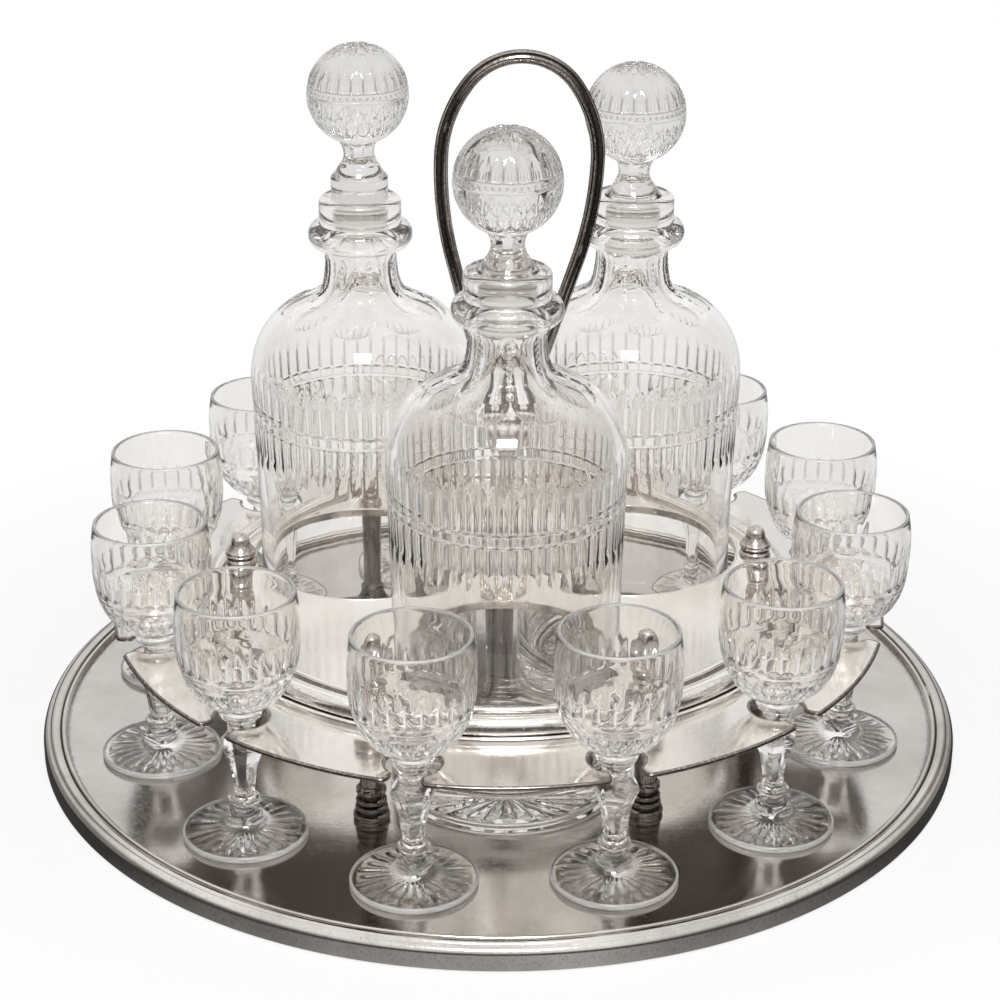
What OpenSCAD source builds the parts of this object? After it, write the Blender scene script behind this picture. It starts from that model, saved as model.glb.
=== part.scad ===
// Round liqueur stand with three stoppered decanters and twelve stemmed glasses.
// Units are millimetres, +Z is up, the table is at z = 0.
// The front decanter stands towards -Y.

/* [Tray] */
// Outside diameter of the round tray
tray_d = 356; // [280:1:420]
// Height of the tray floor above the table
floor_h = 6; // [5:0.1:9]
// Thickness of the sheet metal of tray, shelf and deck
sheet_t = 1.6; // [1.2:0.1:2.5]
// Height of the moulded border above the table
rim_h = 9.4; // [8:0.1:14]

/* [Slotted shelf] */
// Diameter of the shelf over the tips between the slots
shelf_d = 295; // [240:1:330]
// Height of the top of the shelf above the table
shelf_h = 53; // [48:0.5:60]
// Number of stemmed glasses and slots round the edge
glass_count = 12; // [6:1:14]
// Distance of each glass from the middle of the stand
glass_ring_r = 134.4; // [110:0.1:150]
// Diameter of the round end of each slot
slot_d = 21; // [17:0.5:24]
// Width of the open mouth of each slot
slot_mouth = 14.6; // [12:0.1:18]

/* [Raised deck] */
// Height of the top of the deck above the table
deck_h = 59.2; // [56:0.1:64]
// Outside diameter of the deck inside its moulding
deck_d = 211.6; // [180:0.2:220]
// Outside diameter of the moulding that steps up to the deck
moulding_d = 237.2; // [200:0.2:250]
// Diameter of each decanter hole
well_d = 88.6; // [80:0.2:92]
// Depth of the turned-down edge of each decanter hole
well_lip = 3; // [2:0.5:6]
// Distance of each decanter from the middle of the stand
well_ring_r = 59.5; // [54:0.1:66]

/* [Posts] */
// Number of turned posts
post_count = 6; // [3:1:12]
// Distance of each post from the middle of the stand
post_ring_r = 99.5; // [90:0.1:105]
// Height of the finial above the deck
finial_h = 22; // [14:0.5:30]

/* [Handle] */
// Height of the top of the loop above the table
handle_top = 268.2; // [230:0.2:300]
// Greatest width of the loop over its outside
handle_w = 62; // [50:0.5:80]
// Thickness of the round handle bar
bar_d = 5.2; // [4:0.1:8]
// Lean of the handle to the right, in degrees
handle_lean = 2.35; // [0:0.05:3]

/* [Decanters] */
// Greatest diameter of the decanter body
body_d = 86.4; // [76:0.2:87]
// Diameter of the lower body where it passes the deck
waist_d = 82.8; // [74:0.2:84]
// Height of the decanter without its stopper
decanter_h = 200; // [170:0.5:230]
// Height of the widest part of the body above the base
shoulder_h = 128; // [110:0.5:150]
// Wall thickness of the body
decanter_wall = 4; // [3:0.1:6]
// Diameter of the stopper ball
ball_d = 38; // [30:0.2:44]
// Extra height at which the left stopper seats
left_stand = 8; // [0:0.5:12]

/* [Glasses] */
// Height of a glass
glass_h = 96.1; // [80:0.1:120]
// Greatest diameter of the bowl
bowl_d = 44; // [36:0.2:50]
// Diameter of the rim
lip_d = 41.8; // [34:0.2:50]
// Diameter of the foot
foot_d = 45.2; // [36:0.2:50]
// Wall thickness of the bowl at the rim
glass_wall = 1.3; // [1:0.1:2]

/* [Hidden] */

$fn = 96;
tray_r = tray_d / 2;
rim_w = 10.5;
pan_r = tray_r - rim_w;
shelf_r = shelf_d / 2;
shelf_in_r = deck_d / 2 + 6.7;
deck_r = deck_d / 2;
moulding_r = moulding_d / 2;
well_r = well_d / 2;
collar_t = 1;
stud_r = 2.5;
stud_hole_r = 2.6;
centre_stud_r = 4;
centre_hole_r = 4.1;
under_h = floor_h - sheet_t;
deck_under = deck_h - sheet_t;
glass_step = 360 / glass_count;
post_step = 360 / post_count;
silver = [0.80, 0.78, 0.74];
dark_silver = [0.55, 0.54, 0.52];
clear_glass = [0.86, 0.90, 0.92, 0.35];

// Handle curve, measured along its own leaning axis
half_w = handle_w / 2 - bar_d / 2;
apex_z = handle_top - bar_d / 2;
crown_shift = 23;
join_dir = [0.8, 0.6];
limb_dir = [0.96, -0.28];
side_r = half_w + crown_shift * join_dir[0];
crown_r = side_r - crown_shift;
wide_z = apex_z - crown_r - crown_shift * join_dir[1];
crown_z = apex_z - crown_r;
side_x = half_w - side_r;
lower_r = 136;
limb_a = acos(limb_dir[0]);
limb_x = half_w - lower_r + lower_r * limb_dir[0];
limb_z = wide_z + lower_r * limb_dir[1];
boss_z = 115;
limb_l = (limb_z - boss_z - 6) / limb_dir[0];

// Decanter heights, measured from the tray floor
ball_r = ball_d / 2;
neck_r = 14;
lip_r = 15.5;
ring_z = decanter_h - 14.6;
ring_minor = 5;
shoulder_rise = 33.6;
shoulder_min = 10;
bore_top_r = 10.8;
bore_low_r = 9.6;
bore_l = 30;
plug_l = 22;
ball_z = decanter_h + 31;
base_r = waist_d / 2 + 1.2;

// Points on an ellipse from angle a0 to a1
function oval(cx, cz, rx, rz, a0, a1, n) =
    [for (i = [0:n]) let (a = a0 + (a1 - a0) * i / n) [cx + rx * cos(a), cz + rz * sin(a)]];

// Points on a full shoulder, squarer than an ellipse
function swell(cx, cz, rx, rz, p, a0, a1, n) =
    [for (i = [0:n]) let (a = a0 + (a1 - a0) * i / n)
        [cx + rx * pow(cos(a), 2 / p), cz + rz * pow(sin(a), 2 / p)]];

// Same list, last point first
function back(list) = [for (i = [len(list) - 1:-1:0]) list[i]];

// Bore radius at a depth under the decanter lip
function bore_r(depth) = bore_top_r + (bore_low_r - bore_top_r) * depth / bore_l;

module at_post(i) {
    rotate([0, 0, post_step * (i - 1)])
        translate([post_ring_r, 0, 0])
            children();
}

module at_well(i) {
    rotate([0, 0, -90 + 120 * i])
        translate([well_ring_r, 0, 0])
            children();
}

module at_glass(i) {
    rotate([0, 0, -90 + glass_step * (i - 0.5)])
        translate([glass_ring_r, 0, floor_h])
            children();
}

module at_handle() {
    translate([0, 0, deck_h])
        rotate([0, handle_lean, 0])
            translate([0, 0, -deck_h])
                children();
}

module all_posts() {
    for (i = [1:post_count])
        at_post(i)
            children();
}

module all_wells() {
    for (i = [0:2])
        at_well(i)
            children();
}

// Flat floor of the tray with the holes for posts and centre post
module tray() {
    color(silver)
        difference() {
            translate([0, 0, under_h])
                cylinder(r = pan_r, h = sheet_t);
            all_posts()
                cylinder(r = stud_hole_r, h = 20);
            cylinder(r = centre_hole_r, h = 20);
        }
}

// Moulded border with its skirt down to the table
module tray_rim() {
    color(silver)
        rotate_extrude()
            polygon(concat(
                [[pan_r, under_h], [tray_r - 5, under_h], [tray_r - 3.4, 0.6], [tray_r - 2.8, 0]],
                oval(tray_r - 0.8, 0.8, 0.8, 0.8, -90, 0, 3),
                oval(tray_r - 3, rim_h - 4, 3, 3.2, 0, 78, 6),
                [[tray_r - 2.9, rim_h - 0.5]],
                oval(tray_r - 4.7, rim_h - 1.2, 1.8, 1.2, 15, 165, 6),
                [[tray_r - 6.9, rim_h - 1.3]],
                oval(tray_r - 7.8, rim_h - 1.2, 0.8, 0.8, 0, 180, 6),
                oval(pan_r, rim_h - 1.6, 1.7, rim_h - 1.6 - floor_h, 0, -90, 5)
            ));
}

// Outline of the shelf: a ring with keyhole slots open at its edge
module shelf_outline() {
    difference() {
        circle(r = shelf_r, $fn = 180);
        circle(r = shelf_in_r, $fn = 180);
        for (i = [1:glass_count])
            rotate([0, 0, -90 + glass_step * (i - 0.5)])
                slot_outline();
    }
}

// One keyhole slot with a mouth that flares to the edge
module slot_outline() {
    mouth = slot_mouth / 2;
    throat = mouth - 1.2;
    translate([glass_ring_r, 0])
        circle(d = slot_d);
    polygon([
        [glass_ring_r + 5, -throat],
        [shelf_r - 4, -throat],
        [shelf_r - 1.6, -throat - 0.5],
        [shelf_r - 0.5, -mouth],
        [shelf_r + 3, -mouth - 3],
        [shelf_r + 3, mouth + 3],
        [shelf_r - 0.5, mouth],
        [shelf_r - 1.6, throat + 0.5],
        [shelf_r - 4, throat],
        [glass_ring_r + 5, throat]
    ]);
}

// Flat slotted shelf that keeps the glasses in place
module shelf() {
    color(silver)
        translate([0, 0, shelf_h - sheet_t])
            linear_extrude(height = sheet_t)
                shelf_outline();
}

// Raised middle of the shelf with three decanter holes
module deck() {
    color(silver)
        difference() {
            translate([0, 0, deck_under])
                cylinder(r = deck_r, h = sheet_t);
            all_wells()
                translate([0, 0, deck_under - 2])
                    cylinder(r = well_r + collar_t, h = sheet_t + 4);
            all_posts()
                translate([0, 0, deck_under - 2])
                    cylinder(r = stud_hole_r, h = sheet_t + 4);
            translate([0, 0, deck_under - 2])
                cylinder(r = centre_hole_r, h = sheet_t + 4);
        }
}

// Ring of mouldings between shelf and deck
module deck_moulding() {
    color(silver)
        rotate_extrude()
            polygon(concat(
                [[deck_r, deck_under], [deck_r + 2.7, deck_under], [shelf_in_r, shelf_h],
                 [moulding_r, shelf_h]],
                oval(moulding_r - 1.1, shelf_h + 0.9, 1.1, 1.1, 0, 130, 5),
                [[moulding_r - 2.5, shelf_h + 1.5]],
                oval(deck_r + 6.4, deck_h - 3.2, 4.2, 4.6, -10, 140, 10),
                [[deck_r + 2.5, deck_h + 0.2]],
                oval(deck_r + 1.1, deck_h + 0.9, 1.1, 1, -20, 180, 7)
            ));
}

// Turned-down edge that lines a decanter hole, with a soft top
module collar(i) {
    color(silver)
        at_well(i)
            translate([0, 0, deck_h])
                rotate_extrude()
                    polygon(concat(
                        [[well_r, -well_lip], [well_r + collar_t, -well_lip]],
                        oval(well_r + collar_t / 2, -0.1, collar_t / 2, 0.4, 0, 180, 6)
                    ));
}

module collar_front() {
    collar(0);
}

module collar_right() {
    collar(1);
}

module collar_left() {
    collar(2);
}

// Turned post from the tray floor to the deck, with a stud at each end
module post(i) {
    h = deck_under - floor_h;
    color(silver)
        at_post(i)
            translate([0, 0, floor_h])
                rotate_extrude()
                    polygon(concat(
                        [[0, -4.3], [stud_r, -4.3], [stud_r, 0], [6.3, 0]],
                        oval(5.8, 1.5, 1, 1.3, -60, 75, 5),
                        [[5.4, 3.2]],
                        oval(5.1, 4.8, 0.9, 1.1, -70, 75, 5),
                        [[4.9, 6.2]],
                        oval(4.8, 7.6, 0.9, 1, -75, 75, 5),
                        [[4.5, 9], [4.5, 10.2], [5.5, 11], [5.5, 12.4], [4.4, 13.6], [4.1, 16],
                         [4.3, h - 14], [4.4, h - 6], [5, h - 4.6], [5, h - 3.4],
                         [4.6, h - 2.8], [6, h - 2], [6, h], [stud_r, h], [stud_r, h + 9], [0, h + 9]]
                    ));
}

module post_1() {
    post(1);
}

module post_2() {
    post(2);
}

module post_3() {
    post(3);
}

module post_4() {
    post(4);
}

module post_5() {
    post(5);
}

module post_6() {
    post(6);
}

// Turned finial that screws down on a post and clamps the deck
module finial(i) {
    top = finial_h;
    color(silver)
        at_post(i)
            translate([0, 0, deck_h])
                rotate_extrude()
                    polygon(concat(
                        [[0, 8.2], [stud_hole_r, 8.2], [stud_hole_r, 0], [4.9, 0], [5.1, 0.6]],
                        oval(4.4, 2.9, 0.7, 0.7, -60, 60, 4),
                        [[4.3, 4.2], [4.3, 6.4], [4.7, 7.8]],
                        oval(5, 10.2, 1.1, 1.8, -70, 70, 6),
                        [[5.2, 12.3]],
                        oval(4.6, 14.2, 1.4, 1.5, -50, 60, 5),
                        [[4.2, top - 4.9], [3.7, top - 4.2]],
                        oval(0, top - 3.7, 3.8, 3.7, 8, 90, 7)
                    ));
}

module finial_1() {
    finial(1);
}

module finial_2() {
    finial(2);
}

module finial_3() {
    finial(3);
}

module finial_4() {
    finial(4);
}

module finial_5() {
    finial(5);
}

module finial_6() {
    finial(6);
}

// Six-sided nut under the tray with the hole for a post stud
module nut(i) {
    color(dark_silver)
        at_post(i)
            difference() {
                translate([0, 0, under_h - 2.8])
                    cylinder(d = 10, h = 2.8, $fn = 6);
                translate([0, 0, -1])
                    cylinder(r = stud_hole_r, h = 10);
            }
}

module nut_1() {
    nut(1);
}

module nut_2() {
    nut(2);
}

module nut_3() {
    nut(3);
}

module nut_4() {
    nut(4);
}

module nut_5() {
    nut(5);
}

module nut_6() {
    nut(6);
}

// Turned post in the middle, carrying the handle through the deck
module centre_post() {
    h = deck_under - floor_h;
    color(silver)
        translate([0, 0, floor_h])
            rotate_extrude()
                polygon(concat(
                    [[0, -4.3], [centre_stud_r, -4.3], [centre_stud_r, 0], [9, 0]],
                    oval(8, 2, 1.6, 1.6, -60, 75, 5),
                    [[7.4, 4.4]],
                    oval(6.8, 6.2, 1.3, 1.3, -60, 75, 5),
                    [[6, 8.6], [5.8, 12], [6.2, h - 8], [7.2, h - 5.4], [6.6, h - 4.6], [9, h - 2.6],
                     [9, h], [centre_stud_r, h], [centre_stud_r, h + 3], [0, h + 3]]
                ));
}

// Six-sided nut under the middle of the tray
module centre_nut() {
    color(dark_silver)
        difference() {
            translate([0, 0, under_h - 2.8])
                cylinder(d = 16, h = 2.8, $fn = 6);
            translate([0, 0, -1])
                cylinder(r = centre_hole_r, h = 10);
        }
}

// Turned seat on the deck, bored for the leaning handle stem
module handle_seat() {
    color(silver)
        difference() {
            translate([0, 0, deck_h])
                rotate_extrude()
                    polygon(concat(
                        [[0, 1.6], [centre_hole_r, 1.6], [centre_hole_r, 0], [11, 0]],
                        oval(10, 1.8, 1.6, 1.5, -50, 80, 5),
                        [[8.2, 4.2], [7, 6.4], [6.6, 9]],
                        oval(6.6, 11, 1.5, 1.4, -80, 80, 6),
                        [[5.8, 13.4], [0, 13.4]]
                    ));
            at_handle()
                translate([0, 0, deck_h + 5])
                    cylinder(r = 3.8, h = 30);
        }
}

// Slim turned stem between seat and boss
module handle_stem() {
    color(silver)
        at_handle()
            rotate_extrude()
                polygon(concat(
                    [[0, deck_h + 5], [3.8, deck_h + 5], [3.8, deck_h + 20]],
                    oval(3.8, deck_h + 22, 1.2, 1.2, -85, 85, 5),
                    [[3.8, deck_h + 24], [4.2, boss_z - 8], [3.6, boss_z - 2], [3.6, boss_z], [0, boss_z]]
                ));
}

// Urn-shaped boss that gathers both ends of the loop
module handle_boss() {
    color(silver)
        difference() {
            at_handle()
                rotate_extrude()
                    polygon(concat(
                        [[0, boss_z], [4.6, boss_z], [5.4, boss_z + 0.8], [5.2, boss_z + 2.4]],
                        oval(3.2, boss_z + 9.4, 6.2, 6.4, -60, 62, 10),
                        [[4.6, boss_z + 16], [4.4, boss_z + 17]],
                        oval(0, boss_z + 17.2, 4.4, 2.6, 10, 90, 5)
                    ));
            at_handle()
                limb_bar();
            at_handle()
                mirror([1, 0, 0])
                    limb_bar();
        }
}

// Straight lower part of the right limb of the loop
module limb_bar() {
    translate([limb_x, 0, limb_z])
        rotate([0, 180 + limb_a, 0])
            cylinder(d = bar_d, h = limb_l, $fn = 32);
}

// Part of a ring of round bar, standing upright, between two directions
module arc_bar(r, from, over, to) {
    reach = 3 * r;
    rotate([90, 0, 0])
        intersection() {
            rotate_extrude()
                translate([r, 0])
                    circle(d = bar_d, $fn = 32);
            translate([0, 0, -bar_d])
                linear_extrude(height = 2 * bar_d)
                    polygon([[0, 0], reach * from, reach * over, reach * to]);
        }
}

// Right half of the loop below its crown
module limb() {
    translate([side_x, 0, wide_z])
        arc_bar(side_r, [1, 0], [1, 0.3], join_dir);
    translate([half_w - lower_r, 0, wide_z])
        arc_bar(lower_r, limb_dir, [1, -0.1], [1, 0]);
    limb_bar();
}

// Pear-shaped carrying loop of round bar
module handle_loop() {
    color(silver)
        at_handle() {
            limb();
            mirror([1, 0, 0])
                limb();
            translate([0, 0, crown_z])
                arc_bar(crown_r, join_dir, [0, 1], [-join_dir[0], join_dir[1]]);
        }
}

// Outside of a decanter from the middle of its base up to its lip
function decanter_outside() = concat(
    [[0, 1.2], [32.4, 1.2], [33.8, 0], [base_r - 2, 0]],
    oval(base_r - 1.7, 1.8, 1.7, 1.8, -70, 0, 4),
    [[base_r - 0.4, 14], [waist_d / 2, shoulder_h * 0.5], [waist_d / 2 + 0.7, shoulder_h * 0.75]],
    swell(shoulder_min, shoulder_h, body_d / 2 - shoulder_min, shoulder_rise, 2.14, 0, 68, 12),
    [[19.6, shoulder_h + 33.2], [17, shoulder_h + 35.2], [15.4, shoulder_h + 38.2],
     [14.6, shoulder_h + 42], [14.1, shoulder_h + 46.5], [neck_r, ring_z - 6.4], [neck_r, ring_z - 4.4]],
    oval(lip_r - 0.8, ring_z, ring_minor, ring_minor, -70, 72, 9),
    [[lip_r, ring_z + 5.6]],
    oval(lip_r - 2.4, decanter_h - 2.4, 2.4, 2.4, 0, 90, 5)
);

// Inside of a decanter from its mouth down to the floor of the hollow
function decanter_inside() = concat(
    [[bore_top_r + 0.8, decanter_h], [bore_top_r, decanter_h - 0.8],
     [bore_low_r, decanter_h - bore_l], [10.2, shoulder_h + 38], [11.4, shoulder_h + 34.4],
     [13.4, shoulder_h + 31.6], [16.5, shoulder_h + 29.6]],
    back(swell(bore_low_r, shoulder_h, body_d / 2 - decanter_wall - bore_low_r,
        shoulder_rise - decanter_wall, 2.14, 0, 70, 9)),
    [[waist_d / 2 - decanter_wall, shoulder_h * 0.5]],
    oval(waist_d / 2 - decanter_wall - 8, 19, 8, 8, 0, -80, 4),
    [[0, 10.4]]
);

// Square-shouldered decanter with a ringed neck
module decanter(i) {
    color(clear_glass)
        at_well(i)
            translate([0, 0, floor_h])
                rotate_extrude()
                    polygon(concat(decanter_outside(), decanter_inside()));
}

module decanter_front() {
    decanter(0);
}

module decanter_right() {
    decanter(1);
}

module decanter_left() {
    decanter(2);
}

// Ball stopper with a ground taper plug; stand is how much higher it seats
module stopper(i, stand) {
    lip = decanter_h;
    gap = 0.06;
    color(clear_glass)
        at_well(i)
            translate([0, 0, floor_h])
                rotate_extrude()
                    polygon(concat(
                        [[0, lip - plug_l + stand],
                         [bore_r(plug_l - stand) - gap - 0.6, lip - plug_l + stand],
                         [bore_r(plug_l - stand - 1) - gap, lip - plug_l + stand + 1],
                         [bore_r(0.8) - gap, lip - 0.8],
                         [bore_top_r - gap, lip - 0.6 + stand],
                         [bore_top_r - 0.5, lip + stand]],
                        [for (q = [[9.4, 1.1], [8.6, 2.3], [7.7, 3.9], [6.6, 5.8], [5.9, 8], [6.1, 10.4],
                                   [6.9, 12.4]])
                            [q[0], q[1] + lip + stand]],
                        oval(0, ball_z + stand, ball_r, ball_r, -68, 90, 22)
                    ));
}

module stopper_front() {
    stopper(0, 0);
}

module stopper_right() {
    stopper(1, 0);
}

module stopper_left() {
    stopper(2, left_stand);
}

// Outside of a glass from the middle of its foot up to the rim
function glass_outside() = concat(
    [[0, 0.9], [foot_d / 2 - 4.6, 0.9], [foot_d / 2 - 3, 0], [foot_d / 2 - 1.2, 0]],
    oval(foot_d / 2 - 1.1, 1.3, 1.1, 1.2, -60, 75, 5),
    [[15, 3.4], [9.5, 5.2], [6.6, 8], [5, 11.4], [4.6, 13]],
    oval(4.6, 14.2, 1.3, 0.9, -80, 80, 5),
    [[4.2, 15.6], [4.1, 17.4], [4.7, 23], [5.8, 29], [7.2, 33]],
    oval(6.6, 35.9, 1.6, 2.4, -55, 60, 6),
    [[5.8, 40], [5.1, 41.8], [5, 44], [5.1, 46.4], [5.8, 47.3]],
    oval(6.3, 48.6, 1.3, 1.1, -65, 75, 5),
    [for (q = back(swell(0, 0, bowl_d / 2, 29.4, 2.3, 0, 70, 12))) [q[0], 80 - q[1]]],
    [[bowl_d / 2, 84], [bowl_d / 2 - 0.2, 89]],
    [[lip_d / 2, glass_h - 0.5], [lip_d / 2 - 0.3, glass_h]]
);

// Inside of the bowl from the rim down to its floor
function glass_inside() = concat(
    [[lip_d / 2 - glass_wall + 0.3, glass_h], [lip_d / 2 - glass_wall, glass_h - 0.5],
     [bowl_d / 2 - glass_wall - 0.3, 88], [bowl_d / 2 - glass_wall - 0.2, 84]],
    [for (q = swell(0, 0, bowl_d / 2 - glass_wall - 0.3, 25.6, 2.3, 0, 85, 12)) [q[0], 80 - q[1]]],
    [[0, 54.4]]
);

// Stemmed glass with a merese under the bowl and a disc foot
module glass(i) {
    color(clear_glass)
        at_glass(i)
            rotate_extrude()
                polygon(concat(glass_outside(), glass_inside()));
}

module glass_1() {
    glass(1);
}

module glass_2() {
    glass(2);
}

module glass_3() {
    glass(3);
}

module glass_4() {
    glass(4);
}

module glass_5() {
    glass(5);
}

module glass_6() {
    glass(6);
}

module glass_7() {
    glass(7);
}

module glass_8() {
    glass(8);
}

module glass_9() {
    glass(9);
}

module glass_10() {
    glass(10);
}

module glass_11() {
    glass(11);
}

module glass_12() {
    glass(12);
}

tray();
tray_rim();
shelf();
deck();
deck_moulding();
collar_front();
collar_right();
collar_left();
post_1();
post_2();
post_3();
post_4();
post_5();
post_6();
finial_1();
finial_2();
finial_3();
finial_4();
finial_5();
finial_6();
nut_1();
nut_2();
nut_3();
nut_4();
nut_5();
nut_6();
centre_post();
centre_nut();
handle_seat();
handle_stem();
handle_boss();
handle_loop();
decanter_front();
decanter_right();
decanter_left();
stopper_front();
stopper_right();
stopper_left();
glass_1();
glass_2();
glass_3();
glass_4();
glass_5();
glass_6();
glass_7();
glass_8();
glass_9();
glass_10();
glass_11();
glass_12();
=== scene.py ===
import math

import bpy
import numpy as np
from mathutils import Matrix, Vector


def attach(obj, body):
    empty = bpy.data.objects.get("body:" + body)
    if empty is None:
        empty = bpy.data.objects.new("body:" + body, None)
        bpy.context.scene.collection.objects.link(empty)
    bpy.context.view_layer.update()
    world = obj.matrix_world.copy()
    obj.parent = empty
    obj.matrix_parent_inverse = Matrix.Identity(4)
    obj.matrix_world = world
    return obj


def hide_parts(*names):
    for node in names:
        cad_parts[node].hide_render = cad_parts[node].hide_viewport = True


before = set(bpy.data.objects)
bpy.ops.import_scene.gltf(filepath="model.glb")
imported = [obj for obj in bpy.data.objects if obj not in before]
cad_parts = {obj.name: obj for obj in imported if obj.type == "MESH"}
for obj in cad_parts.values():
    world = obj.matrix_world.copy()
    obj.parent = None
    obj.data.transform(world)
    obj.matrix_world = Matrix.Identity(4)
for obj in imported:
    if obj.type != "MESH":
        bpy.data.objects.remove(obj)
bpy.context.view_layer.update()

MM = 0.001
TURN = 2 * math.pi

# Sizes of the stand, in millimetres, as the CAD has them
TRAY_R = 178.0
PAN_R = TRAY_R - 10.5
FLOOR_H = 6.0
UNDER_H = 4.4
RIM_H = 9.4
SHELF_R = 147.5
SHELF_H = 53.0
SHEET_T = 1.6
DECK_H = 59.2
DECK_UNDER = DECK_H - SHEET_T
DECK_R = 105.8
MOULDING_R = 118.6
WELL_R = 44.3
WELL_LIP = 3.0
WELL_RING_R = 59.5
POST_RING_R = 99.5
GLASS_RING_R = 134.4
GLASSES = 12
FINIAL_H = 22.0
BOSS_Z = 115.0
HANDLE_LEAN = 2.35
HANDLE_HALF = 31.0
HANDLE_TOP = 268.2
BAR_R = 2.6
SLOT_R = 10.5
SLOT_MOUTH = [(147.31, 7.56), (147.0, 7.3), (146.5, 6.9), (145.9, 6.6), (144.8, 6.25), (143.5, 6.1)]

# Sizes of the glassware, in millimetres from the tray floor
SHOULDER_H = 128.0
DECANTER_H = 200.0
RING_Z = DECANTER_H - 14.6
BALL_R = 19.0
BALL_Z = DECANTER_H + 31.0
LEFT_STAND = 8.0

# Counts of the wheel cuts round each piece of glass, and the pitch of the small teeth in millimetres
DECANTER_FLUTES = 48
DECANTER_RAYS = 32
PANELS = 8
NOTCH = 1.1
STOPPER_FLUTES = 24
STOPPER_FACETS = 8
GLASS_FLUTES = 24
GLASS_RAYS = 24
STEM_FACETS = 6

# The camera stands a little to the left of the front decanter, in degrees
CAMERA_YAW = -2.35

SIDES = ("front", "right", "left")


# Profiles: lists of (radius, height) in millimetres

def oval(cx, cz, rx, rz, a0, a1, n):
    """Points on an ellipse from angle a0 to a1, in degrees."""
    turn = np.radians(np.linspace(a0, a1, n + 1))
    return [(cx + rx * math.cos(a), cz + rz * math.sin(a)) for a in turn]


def swell(cx, cz, rx, rz, p, a0, a1, n):
    """Points on a full shoulder, squarer than an ellipse."""
    turn = np.radians(np.linspace(a0, a1, n + 1))
    return [(cx + rx * abs(math.cos(a)) ** (2 / p), cz + rz * abs(math.sin(a)) ** (2 / p)) for a in turn]


def flow(points, n):
    """A smooth curve through a few points, n steps between each pair."""
    p = np.array([2 * np.array(points[0]) - points[1], *points, 2 * np.array(points[-1]) - points[-2]], float)
    out = []
    for i in range(1, len(p) - 2):
        a, b, c, d = p[i - 1:i + 3]
        for t in np.arange(n) / n:
            out.append(tuple(0.5 * (2 * b + (c - a) * t + (2 * a - 5 * b + 4 * c - d) * t * t
                                    + (3 * b - a - 3 * c + d) * t ** 3)))
    out.append(tuple(p[-2]))
    return out


def even(points, step, fine=()):
    """The same outline with no two neighbours further apart than step.

    Each (low, high, s) of fine asks for steps of at most s between two heights.
    """
    out = [points[0]]
    for a, b in zip(points, points[1:]):
        gap = math.dist(a, b)
        if gap < 1e-6:
            continue
        size = min([step] + [s for low, high, s in fine if low < (a[1] + b[1]) / 2 < high])
        n = max(1, math.ceil(gap / size))
        out += [tuple(np.array(a) + (np.array(b) - a) * k / n) for k in range(1, n + 1)]
    return out


# Turned meshes

def new_object(name, verts, faces, sharp=38):
    """A mesh object from vertices in metres, smooth except over sharp angles."""
    mesh = bpy.data.meshes.new(name)
    mesh.from_pydata(verts, [], faces)
    mesh.validate()
    mesh.polygons.foreach_set("use_smooth", [True] * len(mesh.polygons))
    mesh.set_sharp_from_angle(angle=math.radians(sharp))
    obj = bpy.data.objects.new(name, mesh)
    bpy.context.scene.collection.objects.link(obj)
    return obj


def turned_mesh(name, profile, segments, cut=None, sharp=38, closed=False):
    """Turns a profile round Z. cut(r, z, theta, row) gives how deep the wheel cut under each point."""
    p = np.array(profile, float)
    d = np.roll(p, -1, axis=0) - np.roll(p, 1, axis=0) if closed else np.gradient(p, axis=0)
    d /= np.maximum(np.linalg.norm(d, axis=1, keepdims=True), 1e-9)
    normal = np.stack([d[:, 1], -d[:, 0]], 1)
    theta = np.arange(segments) * TURN / segments
    r = np.repeat(p[:, :1], segments, 1)
    z = np.repeat(p[:, 1:], segments, 1)
    if cut is not None:
        depth = cut(r, z, theta[None, :], np.arange(len(p))[:, None])
        r = np.maximum(r - normal[:, :1] * depth, 0.0)
        z = z - normal[:, 1:] * depth
    verts = np.stack([r * np.cos(theta), r * np.sin(theta), z], 2)
    rows = len(p)
    pole = [p[i, 0] < 1e-6 for i in range(rows)]
    index = np.zeros((rows, segments), int)
    out = []
    for i in range(rows):
        if pole[i]:
            index[i] = len(out)
            out.append(tuple(verts[i].mean(0) * MM))
        else:
            index[i] = len(out) + np.arange(segments)
            out.extend(map(tuple, verts[i] * MM))
    faces = []
    for i in range(rows if closed else rows - 1):
        a, b = index[i], index[(i + 1) % rows]
        an, bn = np.roll(a, -1), np.roll(b, -1)
        if pole[i]:
            faces += list(zip(a.tolist(), bn.tolist(), b.tolist()))
        elif pole[(i + 1) % rows]:
            faces += list(zip(a.tolist(), an.tolist(), b.tolist()))
        else:
            faces += list(zip(a.tolist(), an.tolist(), bn.tolist(), b.tolist()))
    return new_object(name, out, faces, sharp)


def copy_at(obj, name, place):
    """Another object of the same mesh at a place."""
    twin = bpy.data.objects.new(name, obj.data)
    bpy.context.scene.collection.objects.link(twin)
    twin.matrix_world = place
    return twin


def round_axis(angle, radius, height=0.0):
    """Place at an angle round the stand, turned to face outward."""
    return Matrix.Rotation(math.radians(angle), 4, "Z") @ Matrix.Translation((radius * MM, 0, height * MM))


def decanter_axis(k, height):
    """Axis of the front, right or left decanter, which is k 0, 1 or 2."""
    return round_axis(-90 + 120 * k, WELL_RING_R, height)


def fit_piece(obj, body, slot, material, *nodes):
    """Gives a piece its body and, if it has none, its material, and hides the CAD nodes it stands for. slot
    is not used.
    """
    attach(obj, body)
    if not obj.data.materials:
        obj.data.materials.append(material)
    if nodes:
        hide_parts(*nodes)


# Wheel cuts: depth in millimetres under a point of the glass

def ramp(x, a, b):
    """0 at a, 1 at b, straight between."""
    return np.clip((x - a) / (b - a), 0.0, 1.0)


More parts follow.
